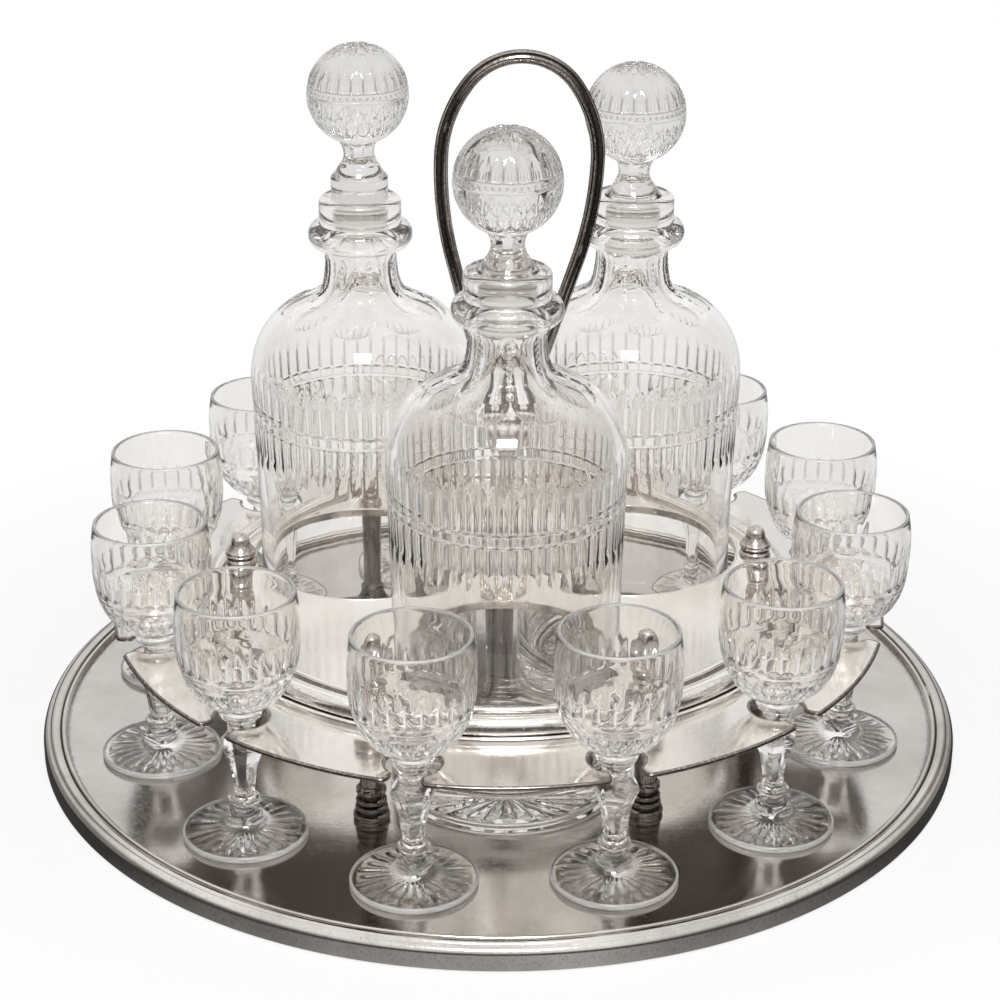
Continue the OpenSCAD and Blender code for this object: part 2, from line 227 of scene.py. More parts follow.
def pitch_offset(theta, count, shift=0.0):
    """Signed angle from the nearest of count equal directions."""
    step = TURN / count
    return (theta - shift * step + step / 2) % step - step / 2


def flutes(theta, count, level, deep, shift=0.0):
    """Hollow flutes side by side, level 1 at full width; they end in points where level falls to 0."""
    s = pitch_offset(theta, count, shift) / (math.pi / count)
    return deep * np.maximum(level * level - s * s, 0.0)


def mitre(x, at, wide, deep):
    """One V groove running round the glass at a height."""
    return deep * np.maximum(1 - np.abs(x - at) / wide, 0.0)


def star(r, theta, count, inner, outer, wide, deep):
    """Star of wedge-shaped rays under a foot, every second one a little shorter."""
    odd = np.floor(theta / (TURN / count) + 0.5) % 2
    end = outer - (outer - inner) * 0.13 * odd
    along = ramp(r, inner, outer) ** 0.8 * np.sqrt(1 - ramp(r, end - (outer - inner) * 0.14, end))
    half = np.maximum(wide * along, 1e-3)
    s = np.abs(pitch_offset(theta, count)) * r
    return deep * along * np.maximum(1 - s / half, 0.0)


# Materials

class Graph:
    """The nodes of a material or of the world, with short names for the few kinds used here."""

    def __init__(self, tree):
        self.nodes, self.links = tree.nodes, tree.links

    def new(self, kind):
        return self.nodes.new("ShaderNode" + kind)

    def link(self, source, target):
        self.links.new(source, target)

    def split(self, vector):
        """X, Y and Z of a vector."""
        parts = self.new("SeparateXYZ")
        self.link(vector, parts.inputs["Vector"])
        return parts.outputs

    def math(self, kind, *values):
        node = self.new("Math")
        node.operation = kind
        for slot, value in zip(node.inputs, values):
            if isinstance(value, (int, float)):
                slot.default_value = value
            else:
                self.link(value, slot)
        return node.outputs[0]

    def to_range(self, value, low, high, a=0.3, b=0.7):
        """low where value is a, high where it is b, and straight between."""
        node = self.new("MapRange")
        for name, number in (("From Min", a), ("From Max", b), ("To Min", low), ("To Max", high)):
            node.inputs[name].default_value = number
        self.link(value, node.inputs["Value"])
        return node.outputs["Result"]

    def noise(self, coord, scale, detail=4.0, rough=0.6, stretch=None):
        node = self.new("TexNoise")
        node.inputs["Scale"].default_value = scale
        node.inputs["Detail"].default_value = detail
        node.inputs["Roughness"].default_value = rough
        if stretch:
            mapping = self.new("Mapping")
            mapping.inputs["Scale"].default_value = stretch
            self.link(coord, mapping.inputs["Vector"])
            coord = mapping.outputs["Vector"]
        self.link(coord, node.inputs["Vector"])
        return node.outputs["Fac"]

    def blend(self, value, low, high, a=0.3, b=0.7):
        """Colour low where value is a, high where it is b."""
        node = self.new("ValToRGB")
        for stop, position, colour in zip(node.color_ramp.elements, (a, b), (low, high)):
            stop.position = position
            stop.color = (*colour, 1)
        self.link(value, node.inputs["Fac"])
        return node.outputs["Color"]

    def mix(self, share, first, second):
        """Colour first where share is 0, second where it is 1; second may be a plain colour."""
        node = self.new("Mix")
        node.data_type = "RGBA"
        self.link(share, node.inputs[0])
        self.link(first, node.inputs[6])
        if isinstance(second, tuple):
            node.inputs[7].default_value = (*second, 1)
        else:
            self.link(second, node.inputs[7])
        return node.outputs[2]

    def bump(self, height, strength, distance, before=None):
        node = self.new("Bump")
        node.inputs["Strength"].default_value = strength
        node.inputs["Distance"].default_value = distance
        self.link(height, node.inputs["Height"])
        if before is not None:
            self.link(before, node.inputs["Normal"])
        return node.outputs["Normal"]


def material(name):
    """A new material, its graph and its shader."""
    mat = bpy.data.materials.new(name)
    mat.use_nodes = True
    return mat, Graph(mat.node_tree), mat.node_tree.nodes["Principled BSDF"]


def silver(name, bright, dull, rough_low, rough_high, scratch=0.04, grime=None, crest_highlight=None, underside=None):
    """Old silver plate: warm clouding, fine wiping marks and specks of wear.

    grime is the colour of tarnish left in hollows; the crest colour is a painted highlight along sharp edges,
    and underside is a pair of colours painted as shade on faces that look down.
    """
    mat, g, bsdf = material(name)
    coord = g.new("TexCoord").outputs["Object"]
    cloud = g.noise(coord, 22.0, 5.0, 0.62)
    speck = g.noise(coord, 900.0, 2.0, 0.5)
    wipe = g.noise(coord, 60.0, 6.0, 0.7, stretch=(1.0, 9.0, 9.0))
    colour = g.blend(cloud, dull, bright, 0.34, 0.62)
    rough = g.math("MULTIPLY", g.to_range(cloud, rough_high, rough_low),
                   g.to_range(speck, 0.8, 1.5, 0.45, 0.75))
    if grime:
        hollow = g.new("NewGeometry").outputs["Pointiness"]
        # Pointiness with specks: low in hollows, where tarnish goes, and high on crests, where a highlight is
        # painted
        tarnish_and_highlight = g.math("MULTIPLY_ADD", g.math("SUBTRACT", speck, 0.5), 0.06, hollow)
        colour = g.mix(g.to_range(tarnish_and_highlight, 1.0, 0.0, 0.455, 0.505), colour, grime)
    # Painted highlight: a pale colour on the sharpest crests
    if crest_highlight:
        crest_highlight_mask = g.to_range(tarnish_and_highlight, 0.0, 1.0, 0.505, 0.54)
        colour = g.mix(crest_highlight_mask, colour, crest_highlight)
        rough = g.math("MULTIPLY_ADD", crest_highlight_mask, 0.3, rough)
    # Painted shade: darker colours on faces that look down
    if underside:
        facing = g.split(g.new("TexCoord").outputs["Normal"])
        below = g.to_range(facing["Z"], 1.0, 0.0, -0.8, -0.3)
        colour = g.mix(below, colour, g.blend(cloud, *underside))
        rough = g.math("MULTIPLY_ADD", below, 0.22, rough)
    g.link(colour, bsdf.inputs["Base Color"])
    g.link(rough, bsdf.inputs["Roughness"])
    normal = g.bump(wipe, scratch, 0.0002)
    normal = g.bump(speck, scratch * 0.6, 0.0001, normal)
    g.link(normal, bsdf.inputs["Normal"])
    bsdf.inputs["Metallic"].default_value = 1.0
    return mat


CLEAR_LOW = (0.965, 0.95, 0.932)
CLEAR_HIGH = (0.99, 0.98, 0.966)


def cut_glass(name, rough=0.0, clear=1.0, tint=1.0, edge=None, edge_clear=1.0, zone=(0, 0)):
    """Lead glass with the slight ripple of hand polishing.

    clear is how far it lets light through. edge and edge_clear are the colour and clearness painted on the
    sharp edges between cuts, for heights in zone, in millimetres: a pale edge colour is a painted highlight,
    a dark one painted shade.
    """
    mat, g, bsdf = material(name)
    coord = g.new("TexCoord").outputs["Object"]
    ripple = g.noise(coord, 70.0, 3.0, 0.5)
    low, high = (tuple(tint * c for c in colour) for colour in (CLEAR_LOW, CLEAR_HIGH))
    colour = g.blend(g.noise(coord, 40.0, 2.0, 0.5), low, high)
    bsdf.inputs["Transmission Weight"].default_value = clear
    if edge:
        height = g.split(coord)["Z"]
        inside = g.math("MULTIPLY", g.math("GREATER_THAN", height, zone[0] * MM),
                        g.math("LESS_THAN", height, zone[1] * MM))
        # The sharp edges between cuts get the painted edge colour and let less light through
        sharp = g.to_range(g.new("NewGeometry").outputs["Pointiness"], 0.0, 1.0, 0.506, 0.532)
        share = g.math("MULTIPLY", inside, sharp)
        colour = g.mix(share, colour, edge)
        g.link(g.math("MULTIPLY_ADD", share, edge_clear - clear, clear), bsdf.inputs["Transmission Weight"])
    g.link(colour, bsdf.inputs["Base Color"])
    g.link(g.to_range(ripple, rough, rough + 0.02, 0.55, 0.8), bsdf.inputs["Roughness"])
    g.link(g.bump(ripple, 0.03, 0.0008), bsdf.inputs["Normal"])
    bsdf.inputs["IOR"].default_value = 1.53
    return mat


# Colours painted as shade on faces that look down, under the shelf, deck and tray
UNDERSIDE_SHADE = ((0.22, 0.195, 0.18), (0.36, 0.325, 0.30))
PLATE = silver("silver_plate_flat", (0.96, 0.935, 0.90), (0.89, 0.855, 0.81), 0.09, 0.16,
               underside=UNDERSIDE_SHADE)
TRAY = silver("silver_plate_tray", (0.74, 0.71, 0.675), (0.61, 0.575, 0.54), 0.11, 0.20, 0.07,
              underside=UNDERSIDE_SHADE)
TURNED = silver("silver_plate_turned", (0.96, 0.93, 0.89), (0.81, 0.765, 0.72), 0.15, 0.24,
                grime=(0.22, 0.19, 0.17))
BORDER = silver("silver_plate_border", (0.80, 0.76, 0.72), (0.58, 0.545, 0.51), 0.11, 0.18,
                grime=(0.12, 0.10, 0.09))
# Posts: dark base colours are painted shade for the dark surroundings the silver reflects
POST = silver("silver_plate_posts", (0.34, 0.305, 0.28), (0.17, 0.15, 0.135), 0.04, 0.08, 0.02,
              grime=(0.05, 0.042, 0.037))
TIP = silver("silver_plate_finials", (0.74, 0.69, 0.65), (0.46, 0.41, 0.38), 0.08, 0.15,
             grime=(0.12, 0.10, 0.09))
# Handle: dark base colours are painted shade for the dark surroundings the silver reflects; the crest colour
# is a painted highlight along the reeds
REED = silver("silver_plate_handle", (0.50, 0.455, 0.42), (0.24, 0.21, 0.19), 0.09, 0.15,
              grime=(0.03, 0.026, 0.024), crest_highlight=(0.80, 0.75, 0.70))
NUT = silver("plain_metal_nut", (0.50, 0.47, 0.44), (0.36, 0.33, 0.30), 0.28, 0.42)
# Glasses and decanters: the pale edge colour, with less light let through, is a painted highlight along the
# cuts
GLASS = cut_glass("cut_glass_clear", edge=(0.97, 0.96, 0.945), edge_clear=0.35, zone=(52, 94))
DECANTER = cut_glass("cut_glass_decanter", edge=(0.90, 0.885, 0.87), edge_clear=0.6, zone=(85, 190))
# Stoppers: a darker tint of the same glass and a dark edge colour along the cuts, both painted shade
STOPPER = cut_glass("cut_glass_stopper", tint=0.84, edge=(0.36, 0.345, 0.33), edge_clear=0.7,
                    zone=(DECANTER_H + 14, DECANTER_H + 62))
EDGE = cut_glass("cut_glass_edge", 0.28, 0.72)


# The stand

def tray_rim_profile():
    """Border of the tray: skirt, outer roll, two beads and the cove down to the floor."""
    edge = TRAY_R
    return even(
        [(PAN_R, UNDER_H), (edge - 5, UNDER_H), (edge - 3.4, 0.6), (edge - 2.8, 0.02)]
        + oval(edge - 0.8, 0.82, 0.8, 0.8, -90, 0, 6)
        + oval(edge - 3, RIM_H - 4, 3, 3.2, 0, 78, 16)
        + [(edge - 2.9, RIM_H - 0.5)]
        + oval(edge - 4.7, RIM_H - 1.2, 1.8, 1.2, 15, 165, 14)
        + [(edge - 6.9, RIM_H - 1.3)]
        + oval(edge - 7.8, RIM_H - 1.2, 0.8, 0.8, 0, 180, 12)
        + oval(PAN_R, RIM_H - 1.6, 1.7, RIM_H - 1.6 - FLOOR_H, 0, -90, 10), 3.0)


def moulding_profile():
    """Mouldings that step from the shelf up to the deck."""
    return even(
        [(DECK_R, DECK_UNDER), (DECK_R + 2.7, DECK_UNDER)]
        + [(DECK_R + 6.7, SHELF_H + 0.02), (MOULDING_R, SHELF_H + 0.02)]
        + oval(MOULDING_R - 1.1, SHELF_H + 0.9, 1.1, 1.1, 0, 130, 12)
        + [(MOULDING_R - 2.5, SHELF_H + 1.5)]
        + oval(DECK_R + 6.4, DECK_H - 3.2, 4.2, 4.6, -10, 140, 26)
        + [(DECK_R + 2.5, DECK_H + 0.2)]
        + oval(DECK_R + 1.1, DECK_H + 0.9, 1.1, 1.0, -20, 180, 16), 3.0)


def collar_profile():
    """Turned-down edge that lines a decanter hole, seen from the deck's top."""
    return [(WELL_R, -WELL_LIP), (WELL_R + 0.99, -WELL_LIP)] + oval(WELL_R + 0.5, -0.1, 0.49, 0.4, 0, 180, 12)


def post_profile():
    """Ringed foot, plain shaft and stud, seen from the tray floor."""
    h = DECK_UNDER - FLOOR_H
    return even(
        [(0, -4.3), (2.5, -4.3), (2.5, 0.02), (6.3, 0.02)]
        + oval(5.8, 1.5, 1, 1.3, -60, 75, 8) + [(5.4, 3.2)]
        + oval(5.1, 4.8, 0.9, 1.1, -70, 75, 8) + [(4.9, 6.2)]
        + oval(4.8, 7.6, 0.9, 1, -75, 75, 8)
        + [(4.5, 9), (4.5, 10.2), (5.5, 11), (5.5, 12.4), (4.4, 13.6)]
        + flow([(4.4, 13.6), (4.1, 16), (4.3, h - 14), (4.4, h - 6)], 8)
        + [(5, h - 4.6), (5, h - 3.4), (4.6, h - 2.8), (6, h - 2), (6, h - 0.02)]
        + [(2.5, h), (2.5, h + 9), (0, h + 9)], 4.0)


def finial_profile():
    """Finial over a post, hollow for the stud, seen from the deck."""
    top = FINIAL_H
    return even(
        [(0, 8.2), (2.6, 8.2), (2.6, 0.02), (4.9, 0.02), (5.1, 0.6)]
        + oval(4.4, 2.9, 0.7, 0.7, -60, 60, 8)
        + flow([(4.3, 4.2), (4.3, 6.4), (4.7, 7.8)], 5)
        + oval(5, 10.2, 1.1, 1.8, -70, 70, 12) + [(5.2, 12.3)]
        + oval(4.6, 14.2, 1.4, 1.5, -50, 60, 10)
        + [(4.2, top - 4.9), (3.7, top - 4.2)]
        + oval(0, top - 3.7, 3.8, 3.7, 8, 90, 18), 3.0)


def centre_post_profile():
    """Middle post, seen from the tray floor."""
    h = DECK_UNDER - FLOOR_H
    return even(
        [(0, -4.3), (4, -4.3), (4, 0.02), (9, 0.02)]
        + oval(8, 2, 1.6, 1.6, -60, 75, 10) + [(7.4, 4.4)]
        + oval(6.8, 6.2, 1.3, 1.3, -60, 75, 10)
        + flow([(6, 8.6), (5.8, 12), (6.2, h - 8), (7.2, h - 5.4)], 6)
        + [(6.6, h - 4.6), (9, h - 2.6), (9, h - 0.02), (4, h), (4, h + 3), (0, h + 3)], 4.0)


def seat_profile():
    """Foot of the handle, seen from the deck."""
    return even(
        [(0, 1.6), (4.1, 1.6), (4.1, 0.02), (11, 0.02)]
        + oval(10, 1.8, 1.6, 1.5, -50, 80, 10)
        + flow([(8.2, 4.2), (7, 6.4), (6.6, 9)], 6)
        + oval(6.6, 11, 1.5, 1.4, -80, 80, 12)
        + [(5.8, 13.4), (0, 13.4)], 3.0)


def stem_profile():
    """Stem between the handle's foot and its boss."""
    low = DECK_H
    return even(
        [(0, low + 5), (3.8, low + 5), (3.8, low + 20)]
        + oval(3.8, low + 22, 1.2, 1.2, -85, 85, 10)
        + [(3.8, low + 24), (4.2, BOSS_Z - 8), (3.6, BOSS_Z - 2), (3.6, BOSS_Z), (0, BOSS_Z)], 5.0)


def boss_profile():
    """Urn-shaped boss that holds both ends of the loop."""
    return even(
        [(0, BOSS_Z), (4.6, BOSS_Z), (5.4, BOSS_Z + 0.8), (5.2, BOSS_Z + 2.4)]
        + oval(3.2, BOSS_Z + 9.4, 6.2, 6.4, -60, 62, 20)
        + [(4.6, BOSS_Z + 16), (4.4, BOSS_Z + 17)]
        + oval(0, BOSS_Z + 17.2, 4.4, 2.6, 10, 90, 10), 3.0)


def leaning():
    """The handle's own frame: turned about the deck, to the right."""
    up = Matrix.Translation((0, 0, DECK_H * MM))
    return up @ Matrix.Rotation(math.radians(HANDLE_LEAN), 4, "Y") @ up.inverted()


def make_turned_metal():
    """All turned pieces of the stand."""
    rim = turned_mesh("tray_border", tray_rim_profile(), 360, closed=True)
    fit_piece(rim, "stand", "silver_plate", BORDER, "tray_rim")
    ring = turned_mesh("deck_mouldings", moulding_profile(), 360, closed=True)
    fit_piece(ring, "stand", "silver_plate", TURNED, "deck_moulding")
    bead = turned_mesh("well_bead_front", collar_profile(), 192, closed=True)
    for k, side in enumerate(SIDES):
        place = decanter_axis(k, DECK_H)
        obj = bead if k == 0 else copy_at(bead, "well_bead_" + side, place)
        obj.matrix_world = place
        fit_piece(obj, "stand", "silver_plate", TURNED, "collar_" + side)
    post = turned_mesh("turned_post_1", post_profile(), 64)
    tip = turned_mesh("turned_finial_1", finial_profile(), 64)
    for i in range(1, 7):
        for first, stem, node, metal, height in ((post, "turned_post_", "post_", POST, FLOOR_H),
                                                 (tip, "turned_finial_", "finial_", TIP, DECK_H)):
            place = round_axis(60 * (i - 1), POST_RING_R, height)
            obj = first if i == 1 else copy_at(first, stem + str(i), place)
            obj.matrix_world = place
            fit_piece(obj, "stand", "silver_plate", metal, node + str(i))
    for name, node, profile, metal, place in (
            ("turned_centre_post", "centre_post", centre_post_profile(), POST, round_axis(0, 0, FLOOR_H)),
            ("turned_seat", "handle_seat", seat_profile(), TURNED, round_axis(0, 0, DECK_H)),
            ("turned_stem", "handle_stem", stem_profile(), TURNED, leaning()),
            ("turned_boss", "handle_boss", boss_profile(), TURNED, leaning())):
        obj = turned_mesh(name, profile, 64)
        obj.matrix_world = place
        fit_piece(obj, "stand", "silver_plate", metal, node)


def shelf_edge_path():
    """Outer edge of the shelf with its keyhole slots, as points in millimetres."""
    path = []
    step = 360 / GLASSES
    hole = [(GLASS_RING_R + SLOT_R * math.cos(a), SLOT_R * math.sin(a))
            for a in np.radians(np.linspace(-35.5, -324.5, 40))]
    slot = [(x, -y) for x, y in SLOT_MOUTH] + hole + SLOT_MOUTH[::-1]
    half = math.degrees(math.asin(SLOT_MOUTH[0][1] / SHELF_R))
    for i in range(1, GLASSES + 1):
        middle = -90 + step * (i - 0.5)
        turn = math.radians(middle)
        c, s = math.cos(turn), math.sin(turn)
        path += [(x * c - y * s, x * s + y * c) for x, y in slot]
        for a in np.radians(np.linspace(middle + half, middle + step - half, 26)[1:-1]):
            path.append((SHELF_R * math.cos(a), SHELF_R * math.sin(a)))
    return path


def tube_mesh(name, points, ups, section, closed, sharp=38):
    """Sweeps a section along points; section gives (side, up) offsets for each point."""
    pts = np.array(points, float)
    n = len(pts)
    tangent = np.roll(pts, -1, 0) - np.roll(pts, 1, 0) if closed else np.gradient(pts, axis=0)
    tangent /= np.linalg.norm(tangent, axis=1, keepdims=True)
    ups = np.array(ups, float)
    side = np.cross(tangent, ups)
    side /= np.linalg.norm(side, axis=1, keepdims=True)
    up = np.cross(side, tangent)
    section = np.array(section, float)
    m = len(section)
    verts = pts[:, None, :] + side[:, None, :] * section[None, :, :1] + up[:, None, :] * section[None, :, 1:]
    verts = (verts.reshape(-1, 3) * MM).tolist()
    faces = []
    for i in range(n if closed else n - 1):
        j = (i + 1) % n
        for k in range(m):
            q = (k + 1) % m
            faces.append((i * m + k, i * m + q, j * m + q, j * m + k))
    if not closed:
        faces.append(tuple(range(m))[::-1])
        faces.append(tuple((n - 1) * m + k for k in range(m)))
    return new_object(name, verts, faces, sharp)


def make_shelf_edge():
    """Small round bead along the shelf's edge and slots."""
    path = [(x, y, SHELF_H - SHEET_T / 2) for x, y in shelf_edge_path()]
    section = [(0.95 * math.cos(a), 0.86 * math.sin(a)) for a in np.arange(12) * TURN / 12]
    bead = tube_mesh("shelf_edge_bead", path, [(0, 0, 1)] * len(path), section, True, 60)
    fit_piece(bead, "stand", "silver_plate", TURNED)


def handle_path():
    """Centre line of the pear-shaped loop, right foot to left foot, in its leaning frame.

    Each limb is a straight piece, a wide lower arc and a side arc, and a crown joins the two. The arcs meet
    where the slopes are those of right triangles: 7-24-25 at the lower join and 3-4-5 at the crown.
    """
    half, apex = HANDLE_HALF - BAR_R, HANDLE_TOP - BAR_R
    low_sin, low_cos = 0.28, 0.96
    crown_sin, crown_cos = 0.6, 0.8
    shift = 23.0
    side_r = half + shift * crown_cos
    crown_r = side_r - shift
    crown_z = apex - crown_r
    wide_z = crown_z - shift * crown_sin
    lower_r = 136.0
    foot_x = half - lower_r + lower_r * low_cos
    foot_z = wide_z - lower_r * low_sin
    length = (foot_z - BOSS_Z - 6) / low_cos
    join = math.degrees(math.acos(crown_cos))
    right = [(foot_x - low_sin * length * (1 - t), foot_z - low_cos * length * (1 - t))
             for t in np.linspace(0, 1, 12)]
    right += oval(half - lower_r, wide_z, lower_r, lower_r, -math.degrees(math.asin(low_sin)), 0, 30)[1:]
    right += oval(half - side_r, wide_z, side_r, side_r, 0, join, 26)[1:]
    crown = oval(0, crown_z, crown_r, crown_r, join, 180 - join, 48)[1:-1]
    left = [(-x, z) for x, z in right[::-1]]
    return [(x, 0.0, z) for x, z in right + crown + left]


def make_handle():
    """The loop, of round bar with sharp-edged reeds."""
    reeds, deep = 8, 0.4
    section = []
    for k in range(reeds * 10):
        a = k * TURN / (reeds * 10)
        r = BAR_R - deep * abs(math.sin(reeds * a / 2)) ** 0.8
        section.append((r * math.cos(a), r * math.sin(a)))
    path = handle_path()
    loop = tube_mesh("reeded_loop", path, [(0, 1, 0)] * len(path), section, False, 50)
    loop.matrix_world = leaning()
    fit_piece(loop, "stand", "silver_plate", REED, "handle_loop")


# The glassware

def decanter_profile():
    """Outside and inside of a decanter."""
    outside = (
        [(0, 1.2), (8, 1.2), (32.4, 1.2), (33.3, 0.7), (33.8, 0.05), (40.6, 0.05)]
        + oval(40.9, 1.8, 1.7, 1.8, -70, 0, 10)
        + flow([(42.6, 1.8), (42.2, 14), (41.7, 38), (41.4, 64), (42.1, 96), (43.2, SHOULDER_H)], 8)[1:]
        + swell(10, SHOULDER_H, 33.2, 33.6, 2.14, 0, 66, 56)[1:]
        + flow([(23.3, SHOULDER_H + 31.3), (19.6, SHOULDER_H + 33.2), (17, SHOULDER_H + 35.2),
                (15.4, SHOULDER_H + 38.2), (14.6, SHOULDER_H + 42), (14.1, SHOULDER_H + 46.5),
                (14, RING_Z - 6.4), (14, RING_Z - 4.8)], 6)
        + oval(14.7, RING_Z, 5, 5, -78, 76, 44)
        + [(15.5, RING_Z + 5.6)]
        + oval(13.1, DECANTER_H - 2.4, 2.4, 2.4, 0, 90, 12))
    inside = (
        [(11.6, DECANTER_H), (10.8, DECANTER_H - 0.8), (9.6, DECANTER_H - 30)]
        + flow([(9.6, DECANTER_H - 30), (10.2, SHOULDER_H + 38), (11.4, SHOULDER_H + 34.4),
                (13.4, SHOULDER_H + 31.6), (16.5, SHOULDER_H + 29.6), (20.5, SHOULDER_H + 27.9)], 6)[1:]
        + swell(9.6, SHOULDER_H, 29.6, 29.6, 2.14, 0, 68, 34)[::-1]
        + [(37.4, 64)]
        + oval(29.4, 19, 8, 8, 0, -80, 16)
        + [(0, 10.4)])
    fine = ((1.0, 1.3, 1.3), (109, 122, 0.4), (129, 140, 0.9), (92, 104, 0.9), (154, RING_Z - 6, 0.45))
    return even(outside, 2.2, fine), even(inside, 4.0)


def decanter_cut(split):
    """Cuts on the outside only, which is the first split rows of the profile.

    Flutes run up and down from two lines round the body. Eight hollow panels with toothed edges go up the
    neck, and a star is cut underneath.
    """
    def depth(r, z, theta, row):
        upper = np.minimum(ramp(z, 117.2, 118.4), 1 - ramp(z, 129.0, 139.5))
        lower = np.minimum(ramp(z, 92.5, 103.0), 1 - ramp(z, 113.1, 114.3))
        between = np.minimum(ramp(z, 113.6, 114.4), 1 - ramp(z, 117.1, 117.9))
        body = flutes(theta, DECANTER_FLUTES, np.maximum(upper, lower), 0.7)
        body += flutes(theta, DECANTER_FLUTES, between, 0.35)
        body += mitre(z, 118.0, 0.9, 0.45) + mitre(z, 113.5, 0.9, 0.45)
        s = pitch_offset(theta, PANELS, 0.5) / (math.pi / PANELS)
        reach = np.sqrt(1 - (1 - ramp(z, 154, 161)) ** 2)
        fade = 1 - ramp(z, RING_Z - 8.5, RING_Z - 5.5)
        panel = 0.95 * fade * reach * np.maximum(1 - (s / np.maximum(reach, 1e-3)) ** 2, 0.0)
        band = ramp(z, 158.5, 160.5) * (1 - ramp(z, 176, 178))
        teeth = 0.4 * ramp(np.abs(s), 0.86, 0.96) * band * np.abs((z / NOTCH) % 2 - 1)
        rays = star(r, theta, DECANTER_RAYS, 3.0, 31.6, 2.3, 0.95) * (r < 32.0)
        return (row < split) * np.where(z > 2.0, body + panel + teeth, rays)
    return depth


def make_decanters():
    """Three decanters of one mesh."""
    outside, inside = decanter_profile()
    cut = decanter_cut(len(outside))
    first = turned_mesh("cut_decanter_front", outside + inside, DECANTER_FLUTES * 8, cut, 30)
    for k, side in enumerate(SIDES):
        place = decanter_axis(k, FLOOR_H)
        obj = first if k == 0 else copy_at(first, "cut_decanter_" + side, place)
        obj.matrix_world = place
        fit_piece(obj, "decanter_" + side, "cut_glass", DECANTER, "decanter_" + side)


def stopper_profile(stand):
    """Plug with waist, and ball, of a stopper that stands this much higher than fully home."""
    def bore(depth):
        return 10.8 - 1.2 * depth / 30 - 0.06
    lip = DECANTER_H
    waist = flow([(10.3, 0.0), (9.4, 1.1), (8.6, 2.3), (7.7, 3.9), (6.6, 5.8), (5.9, 8.0), (6.1, 10.4),
                  (6.9, 12.4)], 6)
    plug = even(
        [(0, lip - 22 + stand), (bore(22 - stand) - 0.6, lip - 22 + stand)]
        + [(bore(21 - stand), lip - 21 + stand), (bore(0.8), lip - 0.8), (10.74, lip - 0.6 + stand)]
        + [(r, z + lip + stand) for r, z in waist], 1.2)
    ball = oval(0, BALL_Z + stand, BALL_R, BALL_R, -67, 90, 150)
    return plug, ball


def stopper_cut(split, stand):
    """Cuts of the ball, which starts at row split: most are set out by latitude, in degrees.

    Pointed flutes stand over a double band, with two rows of lozenges below it and a rosette on top.
    """
    lip = DECANTER_H + stand
    middle = BALL_Z + stand

    def depth(r, z, theta, row):
        lat = np.degrees(np.arcsin(np.clip((z - middle) / BALL_R, -1, 1)))
        upper = np.minimum(ramp(lat, 10.5, 14), 1 - ramp(lat, 24, 48))
        ball = flutes(theta, STOPPER_FLUTES, upper, 0.75)
        rose = np.minimum(ramp(lat, 50, 64), 1 - ramp(lat, 84, 89))
        ball += flutes(theta, STOPPER_FLUTES / 2, rose, 0.5, 0.5)
        ball += mitre(lat, 10.5, 1.8, 0.3) + mitre(lat, 3.5, 1.8, 0.3)
        s = np.abs(pitch_offset(theta, 2 * STOPPER_FLUTES)) / (math.pi / 2 / STOPPER_FLUTES)
        ball += 0.28 * (lat > 4.5) * (lat < 9.5) * np.maximum(1 - s, 0.0)
        first = np.minimum(ramp(lat, -27, -13), 1 - ramp(lat, -13, 1.5))
        second = np.minimum(ramp(lat, -48, -30), 1 - ramp(lat, -30, -13))
        ball += np.maximum(flutes(theta, STOPPER_FLUTES, first, 0.55),
                           flutes(theta, STOPPER_FLUTES, second, 0.5, 0.5))
        face = ramp(z, lip + 4.2, lip + 6.0) * (1 - ramp(z, lip + 11.5, lip + 14.5))
        phi = pitch_offset(theta, STOPPER_FACETS, 0.5)
        neck = r * face * (1 - math.cos(math.pi / STOPPER_FACETS) / np.cos(phi))
        return np.where(row >= split, ball + neck, neck)
    return depth


def make_stoppers():
    """Three stoppers; the left one sits higher in its neck."""
    for k, side in enumerate(SIDES):
        stand = LEFT_STAND if side == "left" else 0.0
        plug, ball = stopper_profile(stand)
        cut = stopper_cut(len(plug), stand)
        obj = turned_mesh("cut_stopper_" + side, plug + ball, STOPPER_FLUTES * 10, cut, 28)
        obj.matrix_world = decanter_axis(k, FLOOR_H)
        fit_piece(obj, "stopper_" + side, "cut_glass", STOPPER, "stopper_" + side)


def glass_profile():
    """Outside and inside of a liqueur glass."""
    outside = (
        [(0, 0.12), (4, 0.12), (20.7, 0.12), (21.0, 0.05), (21.5, 0.05)]
        + oval(21.5, 1.3, 1.1, 1.2, -60, 75, 10)
        + flow([(21.2, 2.5), (15, 3.6), (9.5, 5.2), (6.6, 8), (5, 11.4), (4.6, 13.2)], 8)[1:]
        + oval(4.6, 14.2, 1.3, 0.9, -80, 80, 12)
        + flow([(4.2, 15.4), (4.1, 17.4), (4.7, 23), (5.8, 29), (7.2, 33)], 8)
        + oval(6.6, 35.9, 1.6, 2.4, -55, 60, 14)
        + flow([(7.0, 38.4), (5.8, 40), (5.1, 41.8), (5, 44), (5.1, 46.4), (5.8, 47.4)], 5)[1:]
        + oval(6.3, 48.6, 1.3, 1.1, -65, 75, 14)
        + [(q[0], 80 - q[1]) for q in swell(0, 0, 22, 29.4, 2.3, 0, 70, 60)[::-1]]
        + flow([(22, 80), (22, 84), (21.8, 89), (20.95, 95.3)], 8)[1:]
        + oval(20.25, 95.45, 0.65, 0.65, 0, 90, 6))
    inside = (
        oval(20.25, 95.45, 0.65, 0.65, 90, 180, 6)
        + flow([(19.6, 95.3), (20.4, 88), (20.5, 84), (20.4, 80)], 6)[1:]
        + [(q[0], 80 - q[1]) for q in swell(0, 0, 20.4, 25.6, 2.3, 0, 85, 50)][1:]
        + [(0, 54.4)])
    return even(outside, 0.9), even(inside, 2.0)


